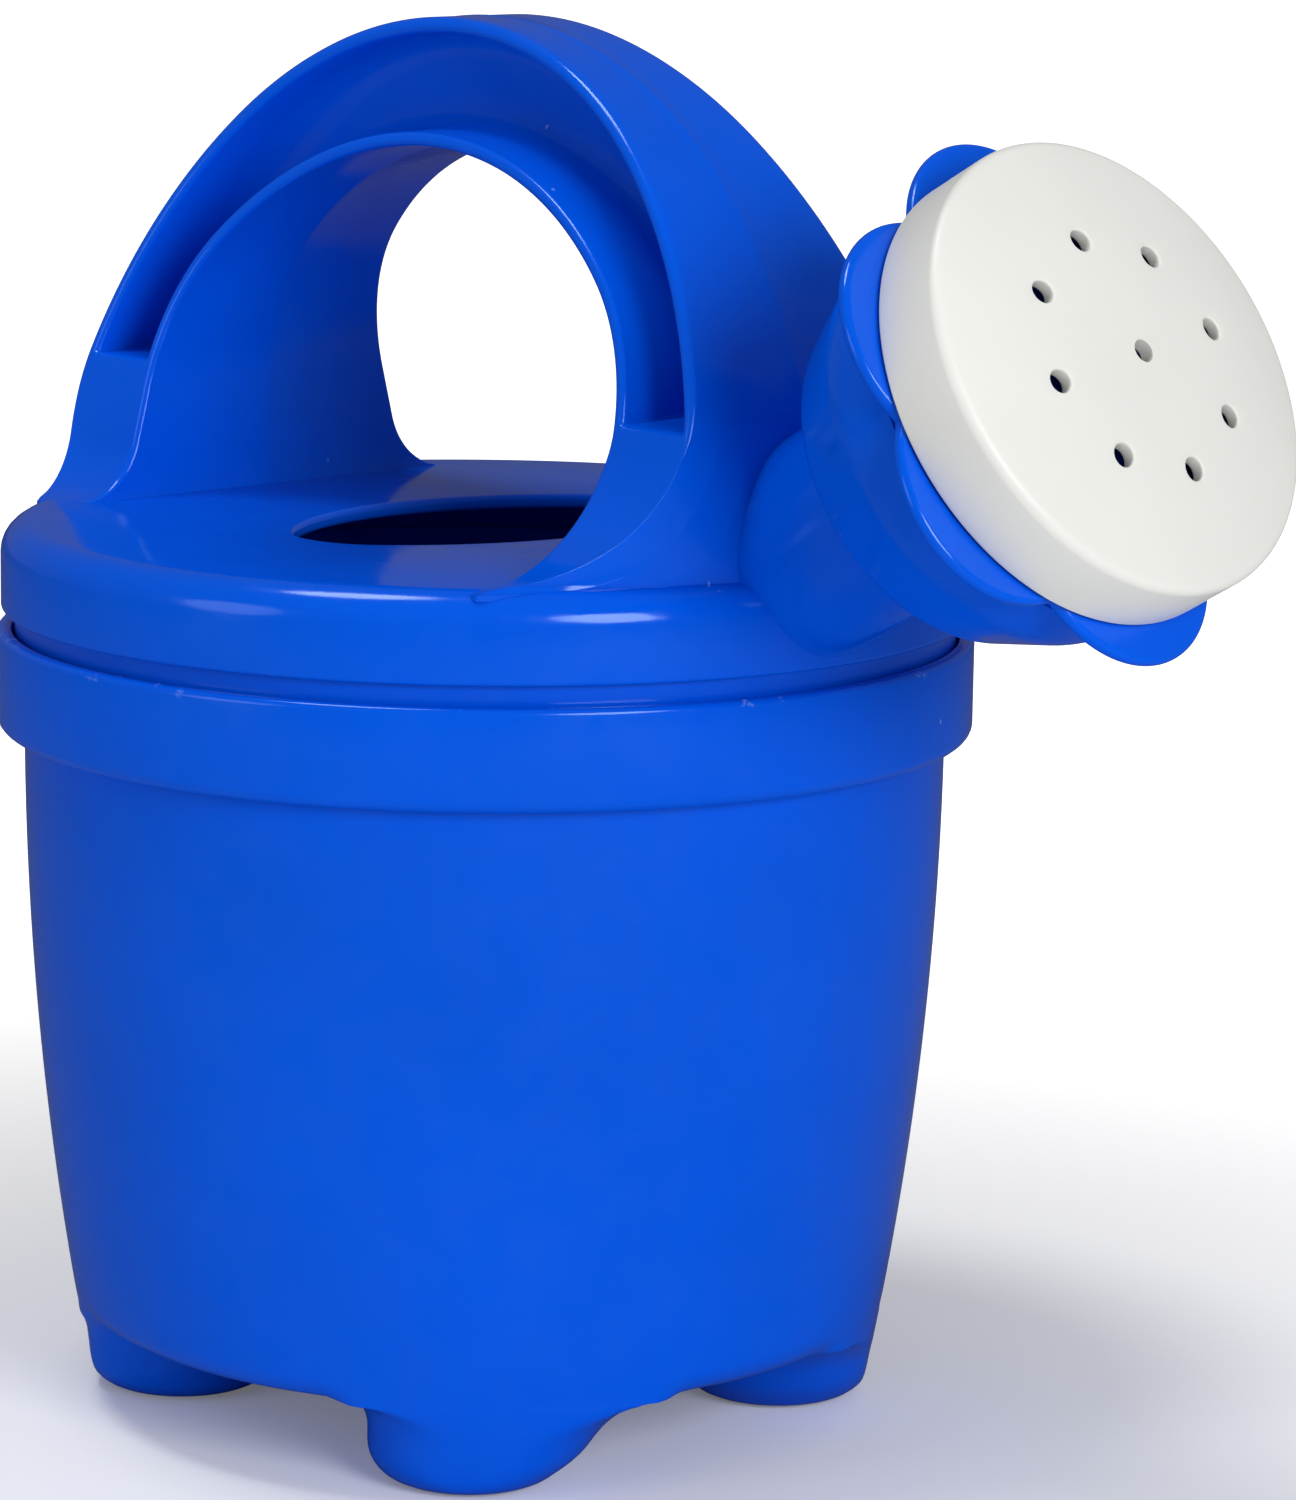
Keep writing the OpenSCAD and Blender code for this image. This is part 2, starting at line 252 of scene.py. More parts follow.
def oval_quarter(a, b, e, n=400):
    """Quarter of an oval from (a, 0) to (0, b): an arc of radius e about (a - e, 0), then an arc about
    a point on the short axis that touches it and passes through (0, b). a is the longer half."""
    big = ((a - e) ** 2 + b * b - e * e) / (2 * (b - e))
    join = math.atan2(big - b, a - e)
    t, u = np.linspace(0, join, n), np.linspace(join, np.pi / 2, n)
    small = np.stack([a - e + e * np.cos(t), e * np.sin(t)], -1)
    large = np.stack([big * np.cos(u), b - big + big * np.sin(u)], -1)
    return np.concatenate([small, large[1:]])


def sector_rays(n, c, inner, outer, steps):
    """Rays from the middle of a hole that lies c out on the middle line of one of n equal sectors.
    Gives their directions, how far off the sector's border is, and which border each meets: the
    sides where a ray crosses the line at half the sector's angle, or the circles inner and outer,
    where the distance solves the circle's equation. The sector's corners are rays of their own."""
    h = np.pi / n
    to_outer = math.atan2(outer * math.sin(h), outer * math.cos(h) - c)
    to_inner = math.atan2(inner * math.sin(h), inner * math.cos(h) - c) if inner else math.pi
    out = np.linspace(-to_outer, to_outer, 2 * steps + 1)
    side = np.linspace(to_outer, to_inner, steps + 1)[1:]
    back = np.linspace(to_inner, 2 * math.pi - to_inner, steps + 1)[1:-1] if inner else np.zeros(0)
    psi = np.concatenate([out, side, back, 2 * math.pi - side[::-1][(0 if inner else 1):]])
    kind = np.concatenate([np.ones(len(out)), np.zeros(len(side)), 2 * np.ones(len(back)),
            np.zeros(len(psi) - len(out) - len(side) - len(back))])
    turn = np.abs((psi + np.pi) % (2 * np.pi) - np.pi)
    to_out = -c * np.cos(turn) + np.sqrt(outer**2 - (c * np.sin(turn)) ** 2)
    to_side = c * math.sin(h) / np.maximum(np.sin(turn - h), 1e-6)
    to_in = -c * np.cos(turn) - np.sqrt(np.maximum(inner**2 - (c * np.sin(turn)) ** 2, 0.0))
    reach = np.select([kind == 1, kind == 2], [to_out, to_in], to_side)
    return psi, reach, kind


def piece(name, patches, body, node, material, sharp=35.0):
    """One mesh object of patches (points, faces), welded, facing outwards, riding on its CAD body and
    standing for its CAD node. Edges sharper than the given degrees stay crisp."""
    start = np.cumsum([0] + [len(p) for p, _ in patches])
    mesh = bpy.data.meshes.new(name)
    faces = [row for (_, f), s in zip(patches, start) for row in (np.asarray(f) + s).tolist()]
    mesh.from_pydata(np.concatenate([p for p, _ in patches]), [], faces)
    work = bmesh.new()
    work.from_mesh(mesh)
    bmesh.ops.remove_doubles(work, verts=work.verts, dist=4e-6)
    bmesh.ops.dissolve_degenerate(work, edges=work.edges, dist=2e-6)
    bmesh.ops.recalc_face_normals(work, faces=work.faces)
    loose = sum(1 for e in work.edges if len(e.link_faces) != 2)
    work.to_mesh(mesh)
    work.free()
    if loose:
        raise RuntimeError(f"{name} has {loose} open edges")
    mesh.shade_smooth()
    mesh.set_sharp_from_angle(angle=math.radians(sharp))
    made = bpy.data.objects.new(name, mesh)
    bpy.context.scene.collection.objects.link(made)
    mesh.materials.append(material)
    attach(made, body)
    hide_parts(node)
    return made


def remove(name):
    """Takes away an earlier object of that name, so that an operator can be run again."""
    old = bpy.data.objects.get(name)
    if old is not None:
        bpy.data.objects.remove(old)


# ---------------------------------------------------------------- finishes


def linear(colour):
    """Linear RGBA of an sRGB hex colour: a straight line near black, a 2.4 power above it."""
    c = np.array([int(colour[i : i + 2], 16) for i in (1, 3, 5)]) / 255
    return (*np.where(c <= 0.04045, c / 12.92, ((c + 0.055) / 1.055) ** 2.4).tolist(), 1.0)


def add_node(tree, kind, inputs=None, **settings):
    """Adds a node with its settings. inputs gives each socket a value, or a socket to link from."""
    node = tree.nodes.new(kind)
    for key, value in settings.items():
        setattr(node, key, value)
    for key, value in (inputs or {}).items():
        if isinstance(value, bpy.types.NodeSocket):
            tree.links.new(value, node.inputs[key])
        else:
            node.inputs[key].default_value = value
    return node


def new_material(name):
    """An empty node material and its tree."""
    old = bpy.data.materials.get(name)
    if old is not None:
        bpy.data.materials.remove(old)
    made = bpy.data.materials.new(name)
    made.use_nodes = True
    made.node_tree.nodes.clear()
    return made, made.node_tree


def gloss_polypropylene(name, colour, roughness, rim=0.0):
    """Injection-moulded polypropylene from a polished mould. It gives the eye a deep even colour under
    a clear gloss, slow waves from shrinking as it cooled, a fine bloom of handling marks that dulls
    the gloss in patches, and a few pale nicks and specks of dust."""
    made, tree = new_material(name)
    place = add_node(tree, "ShaderNodeTexCoord").outputs["Object"]
    # shrink waves about 14 mm long
    waves = add_node(tree, "ShaderNodeTexNoise",
        {"Vector": place, "Scale": 1 / 0.014, "Detail": 1.0, "Roughness": 0.4})
    # handling marks about 6 mm across with finer ones inside
    bloom = add_node(tree, "ShaderNodeTexNoise",
        {"Vector": place, "Scale": 1 / 0.006, "Detail": 5.0, "Roughness": 0.65})
    # skin texture, drawn 0.35 mm coarse so that it shows
    grain = add_node(tree, "ShaderNodeTexNoise", {"Vector": place, "Scale": 1 / 0.00035, "Detail": 1.0})
    # nicks and dust: cells 16 mm apart, of which only the very middle is marked
    cells = add_node(tree, "ShaderNodeTexVoronoi", {"Vector": place, "Scale": 1 / 0.016, "Randomness": 1.0})
    ragged = add_node(tree, "ShaderNodeTexNoise", {"Vector": place, "Scale": 1 / 0.0007, "Detail": 2.0})
    spot = add_node(tree, "ShaderNodeMath", {0: cells.outputs["Distance"], 1: ragged.outputs["Fac"]},
        operation="MULTIPLY")
    speck = add_node(tree, "ShaderNodeMapRange",
        {"Value": spot.outputs[0], "From Min": 0.006, "From Max": 0.011, "To Min": 0.35, "To Max": 0.0})
    tone = add_node(tree, "ShaderNodeTexNoise", {"Vector": place, "Scale": 1 / 0.045, "Detail": 2.0})
    shade = add_node(tree, "ShaderNodeMapRange",
        {"Value": tone.outputs["Fac"], "From Min": 0.3, "From Max": 0.7, "To Min": 0.94, "To Max": 1.05})
    base = add_node(tree, "ShaderNodeMix", {0: 1.0, 6: linear(colour)}, data_type="RGBA",
        blend_type="MULTIPLY")
    tree.links.new(shade.outputs["Result"], base.inputs[7])
    mark = speck.outputs["Result"]
    if rim:
        # worn nicks along the rim's upper edge, in a band about 1 mm high
        split = add_node(tree, "ShaderNodeSeparateXYZ", {"Vector": place})
        near = add_node(tree, "ShaderNodeMapRange",
            {"Value": split.outputs["Z"], "From Min": rim - 0.0012, "From Max": rim - 0.0005})
        chips = add_node(tree, "ShaderNodeTexNoise",
            {"Vector": place, "Scale": 1 / 0.0035, "Detail": 4.0, "Roughness": 0.7})
        chip = add_node(tree, "ShaderNodeMapRange",
            {"Value": chips.outputs["Fac"], "From Min": 0.62, "From Max": 0.72, "To Max": 0.4})
        worn = add_node(tree, "ShaderNodeMath", {0: near.outputs["Result"], 1: chip.outputs["Result"]},
            operation="MULTIPLY")
        both = add_node(tree, "ShaderNodeMath", {0: mark, 1: worn.outputs[0]}, operation="MAXIMUM")
        mark = both.outputs[0]
    paint = add_node(tree, "ShaderNodeMix", {0: mark, 6: base.outputs[2], 7: linear("#9FBCF2")},
        data_type="RGBA")
    dull = add_node(tree, "ShaderNodeMapRange",
        {"Value": bloom.outputs["Fac"], "From Min": 0.35, "From Max": 0.7, "To Min": roughness - 0.03,
            "To Max": roughness + 0.09})
    rise = add_node(tree, "ShaderNodeBump",
        {"Height": waves.outputs["Fac"], "Strength": 0.12, "Distance": 0.0006})
    skin = add_node(tree, "ShaderNodeBump",
        {"Height": grain.outputs["Fac"], "Strength": 0.05, "Distance": 0.00003,
            "Normal": rise.outputs["Normal"]})
    shader = add_node(tree, "ShaderNodeBsdfPrincipled",
        {"Base Color": paint.outputs[2], "Roughness": dull.outputs["Result"], "IOR": 1.49,
            "Specular IOR Level": 0.45, "Specular Tint": (0.5, 0.68, 1.0, 1.0),
            "Normal": skin.outputs["Normal"]})
    add_node(tree, "ShaderNodeOutputMaterial", {"Surface": shader.outputs["BSDF"]})
    return made


def satin_polypropylene(name, colour, roughness):
    """Injection-moulded polypropylene from a finely blasted mould. It gives the eye a soft, almost
    matt white with a fine even skin and barely uneven tone."""
    made, tree = new_material(name)
    place = add_node(tree, "ShaderNodeTexCoord").outputs["Object"]
    tone = add_node(tree, "ShaderNodeTexNoise", {"Vector": place, "Scale": 1 / 0.02, "Detail": 3.0})
    # blasted skin, drawn 0.4 mm coarse so that it shows
    grain = add_node(tree, "ShaderNodeTexNoise", {"Vector": place, "Scale": 1 / 0.0004, "Detail": 2.0})
    cells = add_node(tree, "ShaderNodeTexVoronoi", {"Vector": place, "Scale": 1 / 0.009, "Randomness": 1.0})
    speck = add_node(tree, "ShaderNodeMapRange",
        {"Value": cells.outputs["Distance"], "From Min": 0.010, "From Max": 0.030, "To Min": 0.35,
            "To Max": 0.0})
    shade = add_node(tree, "ShaderNodeMapRange",
        {"Value": tone.outputs["Fac"], "From Min": 0.3, "From Max": 0.7, "To Min": 0.975, "To Max": 1.01})
    base = add_node(tree, "ShaderNodeMix", {0: 1.0, 6: linear(colour)}, data_type="RGBA",
        blend_type="MULTIPLY")
    tree.links.new(shade.outputs["Result"], base.inputs[7])
    paint = add_node(tree, "ShaderNodeMix",
        {0: speck.outputs["Result"], 6: base.outputs[2], 7: linear("#B9B8B0")}, data_type="RGBA")
    dull = add_node(tree, "ShaderNodeMapRange",
        {"Value": grain.outputs["Fac"], "From Min": 0.3, "From Max": 0.7, "To Min": roughness - 0.04,
            "To Max": roughness + 0.06})
    skin = add_node(tree, "ShaderNodeBump",
        {"Height": grain.outputs["Fac"], "Strength": 0.15, "Distance": 0.00004})
    shader = add_node(tree, "ShaderNodeBsdfPrincipled",
        {"Base Color": paint.outputs[2], "Roughness": dull.outputs["Result"], "IOR": 1.49,
            "Normal": skin.outputs["Normal"]})
    add_node(tree, "ShaderNodeOutputMaterial", {"Surface": shader.outputs["BSDF"]})
    return made


# ---------------------------------------------------------------- the tub


def tub_patches(s):
    """Tub of four equal quarters, each built round its foot. Rows run from the foot's middle over its
    rounded edge, up its side, out over the floor to the quarter's border, and where the border is the
    wall, on up the barrel, over the band and the rim and down inside to the same rows of the inner
    skin. The foot's side is the nearer of its own circle and the wall, so that it ends flush with it.
    Towards the spout's plane the side slopes out by a share of its height, and every other quarter is
    mirrored."""
    band = s.rim_height - s.band_height
    wall_radius = s.rim_radius - s.band_step
    ledge = band + s.wall
    inner_band = s.rim_radius - s.wall - 0.0002
    # width over which a foot's side blends into the wall
    blend = 0.0006

    def barrel(z, t):
        """Wall radius at height z, thinned by t: an arc about a far point at the band's height."""
        return wall_radius - s.barrel + np.sqrt((s.barrel - t) ** 2 - (band - z) ** 2)

    def skin(t, floor, edge, fillet):
        """Foot and floor rows of one skin, t inside the outer one, and its border on the wall."""
        r, k = s.foot_radius - t, s.foot_round - 0.6 * t
        psi, reach, kind = sector_rays(4, s.foot_out, 0.0, float(barrel(floor, t)) - edge, 26)
        a = np.linspace(0, np.pi / 2, 10)
        low = np.stack([r - k + k * np.sin(a), t + k - k * np.cos(a)], -1)
        high = np.stack([r + fillet - fillet * np.cos(a), floor - fillet + fillet * np.sin(a)], -1)
        middle = np.stack([np.linspace(0, r - k, 4)[:-1], np.full(3, t)], -1)
        foot = np.concatenate([middle, low, high])
        c, w = s.foot_out, np.sin(psi)
        to_wall = -c * np.cos(psi) + np.sqrt(barrel(foot[:, 1], t)[:, None] ** 2 - (c * w) ** 2)
        share = np.clip((foot[:, 1] - 0.3 * k) / (floor - 0.3 * k), 0, 1)[:, None]
        outward = np.clip(foot[:, 0][:, None] / r, 0, 1) ** 2
        slope = s.foot_slope * share * np.maximum(-w, 0.0) ** 1.5 * outward
        rho = smooth_min(foot[:, 0][:, None] + slope, to_wall, blend)
        rho = np.where(foot[:, 0][:, None] < 0.6 * r, foot[:, 0][:, None], rho)
        height = np.broadcast_to(foot[:, 1][:, None], rho.shape)
        top = rho[-1]
        border = np.where(kind == 1, smooth_max(reach, top, blend), reach)
        f = np.linspace(0, 1, 7)[1:, None]
        rho = np.concatenate([rho, top + (np.maximum(border, top) - top) * f])
        height = np.concatenate([height, np.full((6, len(psi)), floor)])
        x, y = c + rho * np.cos(psi), rho * w
        return np.stack([x, y, height], -1), kind == 1

    outer, on_wall = skin(0.0, s.floor, s.floor_round, s.foot_fillet)
    inner, _ = skin(s.wall, s.floor + s.wall, 0.001, 0.001)
    start, stop = outer[-1][on_wall], inner[-1][on_wall]
    a_start, a_stop = np.arctan2(start[:, 1], start[:, 0]), np.arctan2(stop[:, 1], stop[:, 0])
    r_start, r_stop = np.hypot(start[:, 0], start[:, 1]), np.hypot(stop[:, 0], stop[:, 1])

    def corner_rows(floor, edge, t, r_border):
        """Quarter round from the floor's border to the wall. Its share of the way out is a circle's."""
        z = floor + edge * (1 - np.cos(np.linspace(0, np.pi / 2, 8)[1:]))
        share = np.sqrt(1 - (1 - (z - floor) / edge) ** 2)[:, None]
        return r_border + (barrel(z, t)[:, None] - r_border) * share, z

    r1, z1 = corner_rows(s.floor, s.floor_round, 0.0, r_start)
    r4, z4 = corner_rows(s.floor + s.wall, 0.001, s.wall, r_stop)
    up = np.linspace(s.floor + s.floor_round, band, 36)[1:-1]
    down = np.linspace(ledge, s.floor + s.wall + 0.001, 30)[1:-1]
    top = rounded(
        [(wall_radius, band), (s.rim_radius, band), (s.rim_radius, s.rim_height), (inner_band, s.rim_height),
         (inner_band, ledge), (float(barrel(ledge, s.wall)), ledge)],
        [0.0009, s.band_round, 0.0008, 0.0005, 0.0006, 0.0008], 6)
    # the closed outline's first and last corners are turned for the rows that come before and after
    top = top[3:-3]
    rows_r = np.concatenate([r1, np.broadcast_to(barrel(up, 0.0)[:, None], (len(up), len(r_start))),
                             np.broadcast_to(top[:, 0][:, None], (len(top), len(r_start))),
                             np.broadcast_to(barrel(down, s.wall)[:, None], (len(down), len(r_start))),
                             r4[::-1]])
    rows_z = np.concatenate([z1, up, top[:, 1], down, z4[::-1]])
    inward = np.clip((np.arange(len(rows_z)) - len(z1) - len(up) - len(top)) / (len(down) + len(z4)), 0, 1)
    angle = a_start + (a_stop - a_start) * inward[:, None]
    wall = np.stack([rows_r * np.cos(angle), rows_r * np.sin(angle),
            np.broadcast_to(rows_z[:, None], rows_r.shape)], -1)
    wall = np.concatenate([start[None], wall, stop[None]])
    patches = []
    for i in range(4):
        turn = math.pi / 4 + i * math.pi / 2
        for points, closed in ((outer, True), (inner, True), (wall, False)):
            p, q = grid(points, round_columns=closed)
            patches.append((spin_z(p * [1, (-1) ** i, 1], turn), q))
    return patches


# ---------------------------------------------------------------- the lid, its handle and its neck


def lid_shell_patch(s):
    """Lid as a closed outline carried round the axis. Its points at the fill opening follow an oval,
    the others a circle, so the flat top lies between the two."""
    rim = TUB_HIGH.z
    top, low, side = rim + s.top, rim + s.gap, rim + s.gap + s.wall
    hole = 0.02
    corners = [
        (hole, top), (s.radius, top), (s.radius, low), (s.plug_radius, low), (s.plug_radius, s.plug_foot),
        (s.plug_radius - s.wall, s.plug_foot), (s.plug_radius - s.wall, side), (s.radius - s.wall, side),
        (s.radius - s.wall, top - s.wall), (hole, top - s.wall),
    ]
    radii = [0.0011, s.shoulder, 0.0006, 0.0003, 0.0006, 0.0006, 0.0006, 0.0003, 0.0014, 0.0006]
    profile = rounded(corners, radii, 7)
    at_hole = np.repeat([1] + [0] * 8 + [1], 8).astype(bool)
    phi = np.linspace(0, 2 * np.pi, 289)[:-1]
    quarter = oval_quarter(s.fill_y, s.fill_x, 0.62 * s.fill_x)
    turn = np.arctan2(quarter[:, 0], quarter[:, 1])
    reach = np.hypot(quarter[:, 0], quarter[:, 1])
    fold = np.arccos(np.abs(np.cos(phi)))
    oval = np.interp(fold, turn[::-1], reach[::-1])
    r = np.where(at_hole[:, None], oval + (profile[:, 0] - hole)[:, None], profile[:, 0][:, None])
    z = np.broadcast_to(profile[:, 1][:, None], r.shape)
    return grid(np.stack([r * np.cos(phi), r * np.sin(phi), z], -1), True, True)


def half_arch(s, lid, flare, leg_radius):
    """Half of the arch handle as closed sections carried from foot to crown. A section lies between a
    point of the outer outline and one of the hand opening's. It goes across the outer strip, round its edge,
    down into the recess to the web, up the ring, across the hand opening's side and back. The side
    faces lean like a wedge and flare out in an arc at the foot. The legs are turned to the lid's round."""
    rim = TUB_HIGH.z
    base, top = rim + lid.top - 0.0012, rim + lid.top
    crown = LID_HIGH.z
    rise = crown - top
    outer = oval_quarter(rise, s.half_span, s.end)[::-1, ::-1] + [0, top]
    outer = np.concatenate([[[s.half_span, base]], outer])
    hand_z = rim + s.hand_top - s.hand_rise
    inner = oval_quarter(s.hand_x, s.hand_rise, s.hand_end) + [0, hand_z]
    inner = np.concatenate([[[s.hand_x, base]], inner])
    ledge = rim + s.ledge
    lean = math.tan(s.lean)
    flare_z = top + flare - 0.00015
    lean_z = flare_z - flare * math.sin(s.lean)
    flare_y = s.top_width + (crown - lean_z) * lean + flare * math.cos(s.lean)

    def half_width(z):
        """Half width at height z: a straight lean above, an arc about (flare_y, flare_z) below."""
        arc = flare_y - np.sqrt(np.maximum(flare**2 - (z - flare_z) ** 2, 0.0))
        return np.where(z > lean_z, s.top_width + (crown - z) * lean,
            np.where(z < flare_z - flare, flare_y, arc))

    # stations: level ones up the leg, close together at the ledge, then ones that fan out to the crown
    step = np.array([-0.5, 0.0, 0.2, 0.35, 0.45, 0.55, 0.75, 1.0, 1.4, 1.9, 2.5, 3.2]) * 0.001
    depth = np.array([0.0, 0.004, 0.02, 0.06, 0.30, 0.80, 0.90, 0.945, 0.975, 0.992, 1.0, 1.0])
    low = base + (ledge - 0.0012 - base) * np.linspace(0, 1, 26) ** 1.5
    level = np.concatenate([low, ledge + step])
    share = np.linspace(0, 1, 56)[1:]

    def stations(line):
        """Points of an outline at the levels, then at equal shares of the rest of its length."""
        x = np.interp(level, line[:, 1], line[:, 0])
        run = np.concatenate([[0], np.cumsum(np.hypot(*np.diff(line, axis=0).T))])
        at = np.interp(level[-1], line[:, 1], run)
        rest = at + (run[-1] - at) * share
        return np.concatenate([np.stack([x, level], -1),
                np.stack([np.interp(rest, run, line[:, 0]), np.interp(rest, run, line[:, 1])], -1)])

    a, b = stations(outer), stations(inner)
    wide = np.linalg.norm(b - a, axis=-1)
    direction = (b - a) / wide[:, None]
    sunk = np.concatenate([np.zeros(len(low)), depth, np.ones(len(share))])

    def w(q):
        return half_width(a[:, 1] + direction[:, 1] * q)

    def turned_in(y):
        """How far in the leg's round leaves the outer face at y across."""
        gone = a[:, 0] - np.sqrt(np.maximum(leg_radius**2 - y**2, 0.0))
        return np.minimum(smooth_max(gone, np.zeros_like(gone), 0.0012), wide - 0.0012)

    seam = 0.0001
    w0 = w(0 * wide)
    q0 = turned_in(w0)
    across = [np.full_like(w0, 0.00035), 0.3 * w0, 0.55 * w0, 0.78 * w0]
    q2 = np.maximum(s.strip, q0 + 0.0004)
    q3 = q2 + 0.0002
    q5 = np.maximum(wide - s.ring, q3 + 0.0004)
    q4 = q5 - 0.0002
    floor_y = lambda q: w(q) * (1 - sunk) + np.minimum(s.web, w(q)) * sunk
    side = [(turned_in(y) + seam, y) for y in across] + [
        (q0 + seam, w(q0)), (q2, w(q2)), (q3, floor_y(q3)), (q4, floor_y(q4)), (q5, w(q5)),
        (wide - seam, w(wide)), (wide - seam, 0.00035 + 0 * wide),
    ]
    near = np.stack([np.stack(p, -1) for p in side], -2)
    zero = np.zeros_like(wide)
    loop = np.concatenate([np.stack([zero, zero], -1)[:, None], near, np.stack([wide, zero], -1)[:, None],
            near[:, ::-1] * [1, -1]], 1)
    mm = 0.001
    half = np.array([0.0, 2 * mm, 2 * mm, 3 * mm, 1.3 * mm, 0.8 * mm, 5.5 * mm, 3.2 * mm, 0.7 * mm,
            1.2 * mm, 0.0])
    radii = np.concatenate([[0.0], half, [0.0], half[::-1]])
    section = rounded(loop, radii, 6)
    q, y = section[..., 0], section[..., 1]
    x = a[:, 0][:, None] + direction[:, 0][:, None] * q
    z = a[:, 1][:, None] + direction[:, 1][:, None] * q
    return np.stack([x, y, z], -1)


def handle_patches(s, lid):
    """Both halves of the arch handle joined at the crown, the rear one mirrored, with their feet closed."""
    right = half_arch(s, lid, s.flare, s.leg_radius)
    left = half_arch(s, lid, s.rear_flare, s.rear_radius)[::-1] * [-1, 1, 1]
    points = np.concatenate([right, left[1:]])
    p, quads = grid(points, round_columns=True)
    columns = points.shape[1]
    foot = np.arange(columns)[None, ::-1]
    return [(p, quads), (points[0], foot), (points[-1], foot)]


def on_spout(points, s):
    """Points given about a Z axis, laid along the spout's axis with their X turned downwards."""
    c, n = math.cos(s.tilt), math.sin(s.tilt)
    return points @ np.array([[n, 0, -c], [0, 1, 0], [c, 0, n]]) + [0, 0, TUB_HIGH.z - s.drop]


def neck_patch(s):
    """Neck as a closed outline turned about the spout's axis: outside, mouth, bore and its blind end."""
    r, bore = s.neck_radius, s.neck_radius - s.neck_wall
    closed_end = s.neck_root + 0.012
    outline = rounded([(0.0, s.neck_root), (r, s.neck_root), (r, s.neck_end), (bore, s.neck_end),
                       (bore, closed_end), (0.0, closed_end)],
                      [0, 0.001, 0.0006, 0.0004, 0.001, 0], 5)[5:-5]
    points = turned(outline, np.linspace(0, 2 * np.pi, 121)[:-1])
    p, q = grid(points, round_columns=True)
    return on_spout(p, s), q


# ---------------------------------------------------------------- the rose


def cup_patch(s):
    """Rose cup as a closed outline carried round the spout's axis: socket, rounded rear, bell, petal
    flange, collar and inside. The flange's edge follows the petals: circles set out from the axis."""
    flange = s.face_at - s.face_skirt - s.flange - 0.0003
    rear = flange - s.cup_length
    socket = s.neck_radius + 0.0001
    wall = s.cup_wall
    collar = s.face_radius - s.face_wall - 0.0001
    petal = 0.03
    front = flange + s.flange
    corners = [
        (socket, rear), (s.cup_rear, rear), (s.cup_mouth, flange - s.mouth_length),
        (s.cup_mouth, flange), (petal, flange), (petal, front),
        (collar, front), (collar, front + s.collar), (collar - wall, front + s.collar),
        (collar - wall, flange - s.mouth_length), (s.cup_rear - wall, rear + wall),
        (socket + wall, rear + wall),
        (socket + wall, s.neck_end), (socket, s.neck_end),
    ]
    mm = 0.001
    radii = [0.5 * mm, 3.6 * mm, 9 * mm, 0.9 * mm, 0.84 * mm, 0.84 * mm, 0.3 * mm, 0.5 * mm, 0.3 * mm,
        8 * mm, 2 * mm, 0.8 * mm, 0.4 * mm, 0.4 * mm]
    profile = rounded(corners, radii, 7)
    at_petal = np.repeat([0] * 4 + [1, 1] + [0] * 8, 8).astype(bool)
    psi = np.linspace(0, 2 * np.pi, 361)[:-1]
    step = 2 * np.pi / s.petals
    local = np.abs((psi + step / 2) % step - step / 2)
    c = s.petal_reach - s.petal_radius
    edge = c * np.cos(local) + np.sqrt(s.petal_radius**2 - (c * np.sin(local)) ** 2)
    edge = smooth_max(edge, s.face_radius - 0.0012 + 0 * edge, 0.0012)
    r = np.where(at_petal[:, None], edge + (profile[:, 0] - petal)[:, None], profile[:, 0][:, None])
    z = np.broadcast_to(profile[:, 1][:, None], r.shape)
    p, q = grid(np.stack([r * np.cos(psi), r * np.sin(psi), z], -1), True, True)
    return on_spout(p, s), q


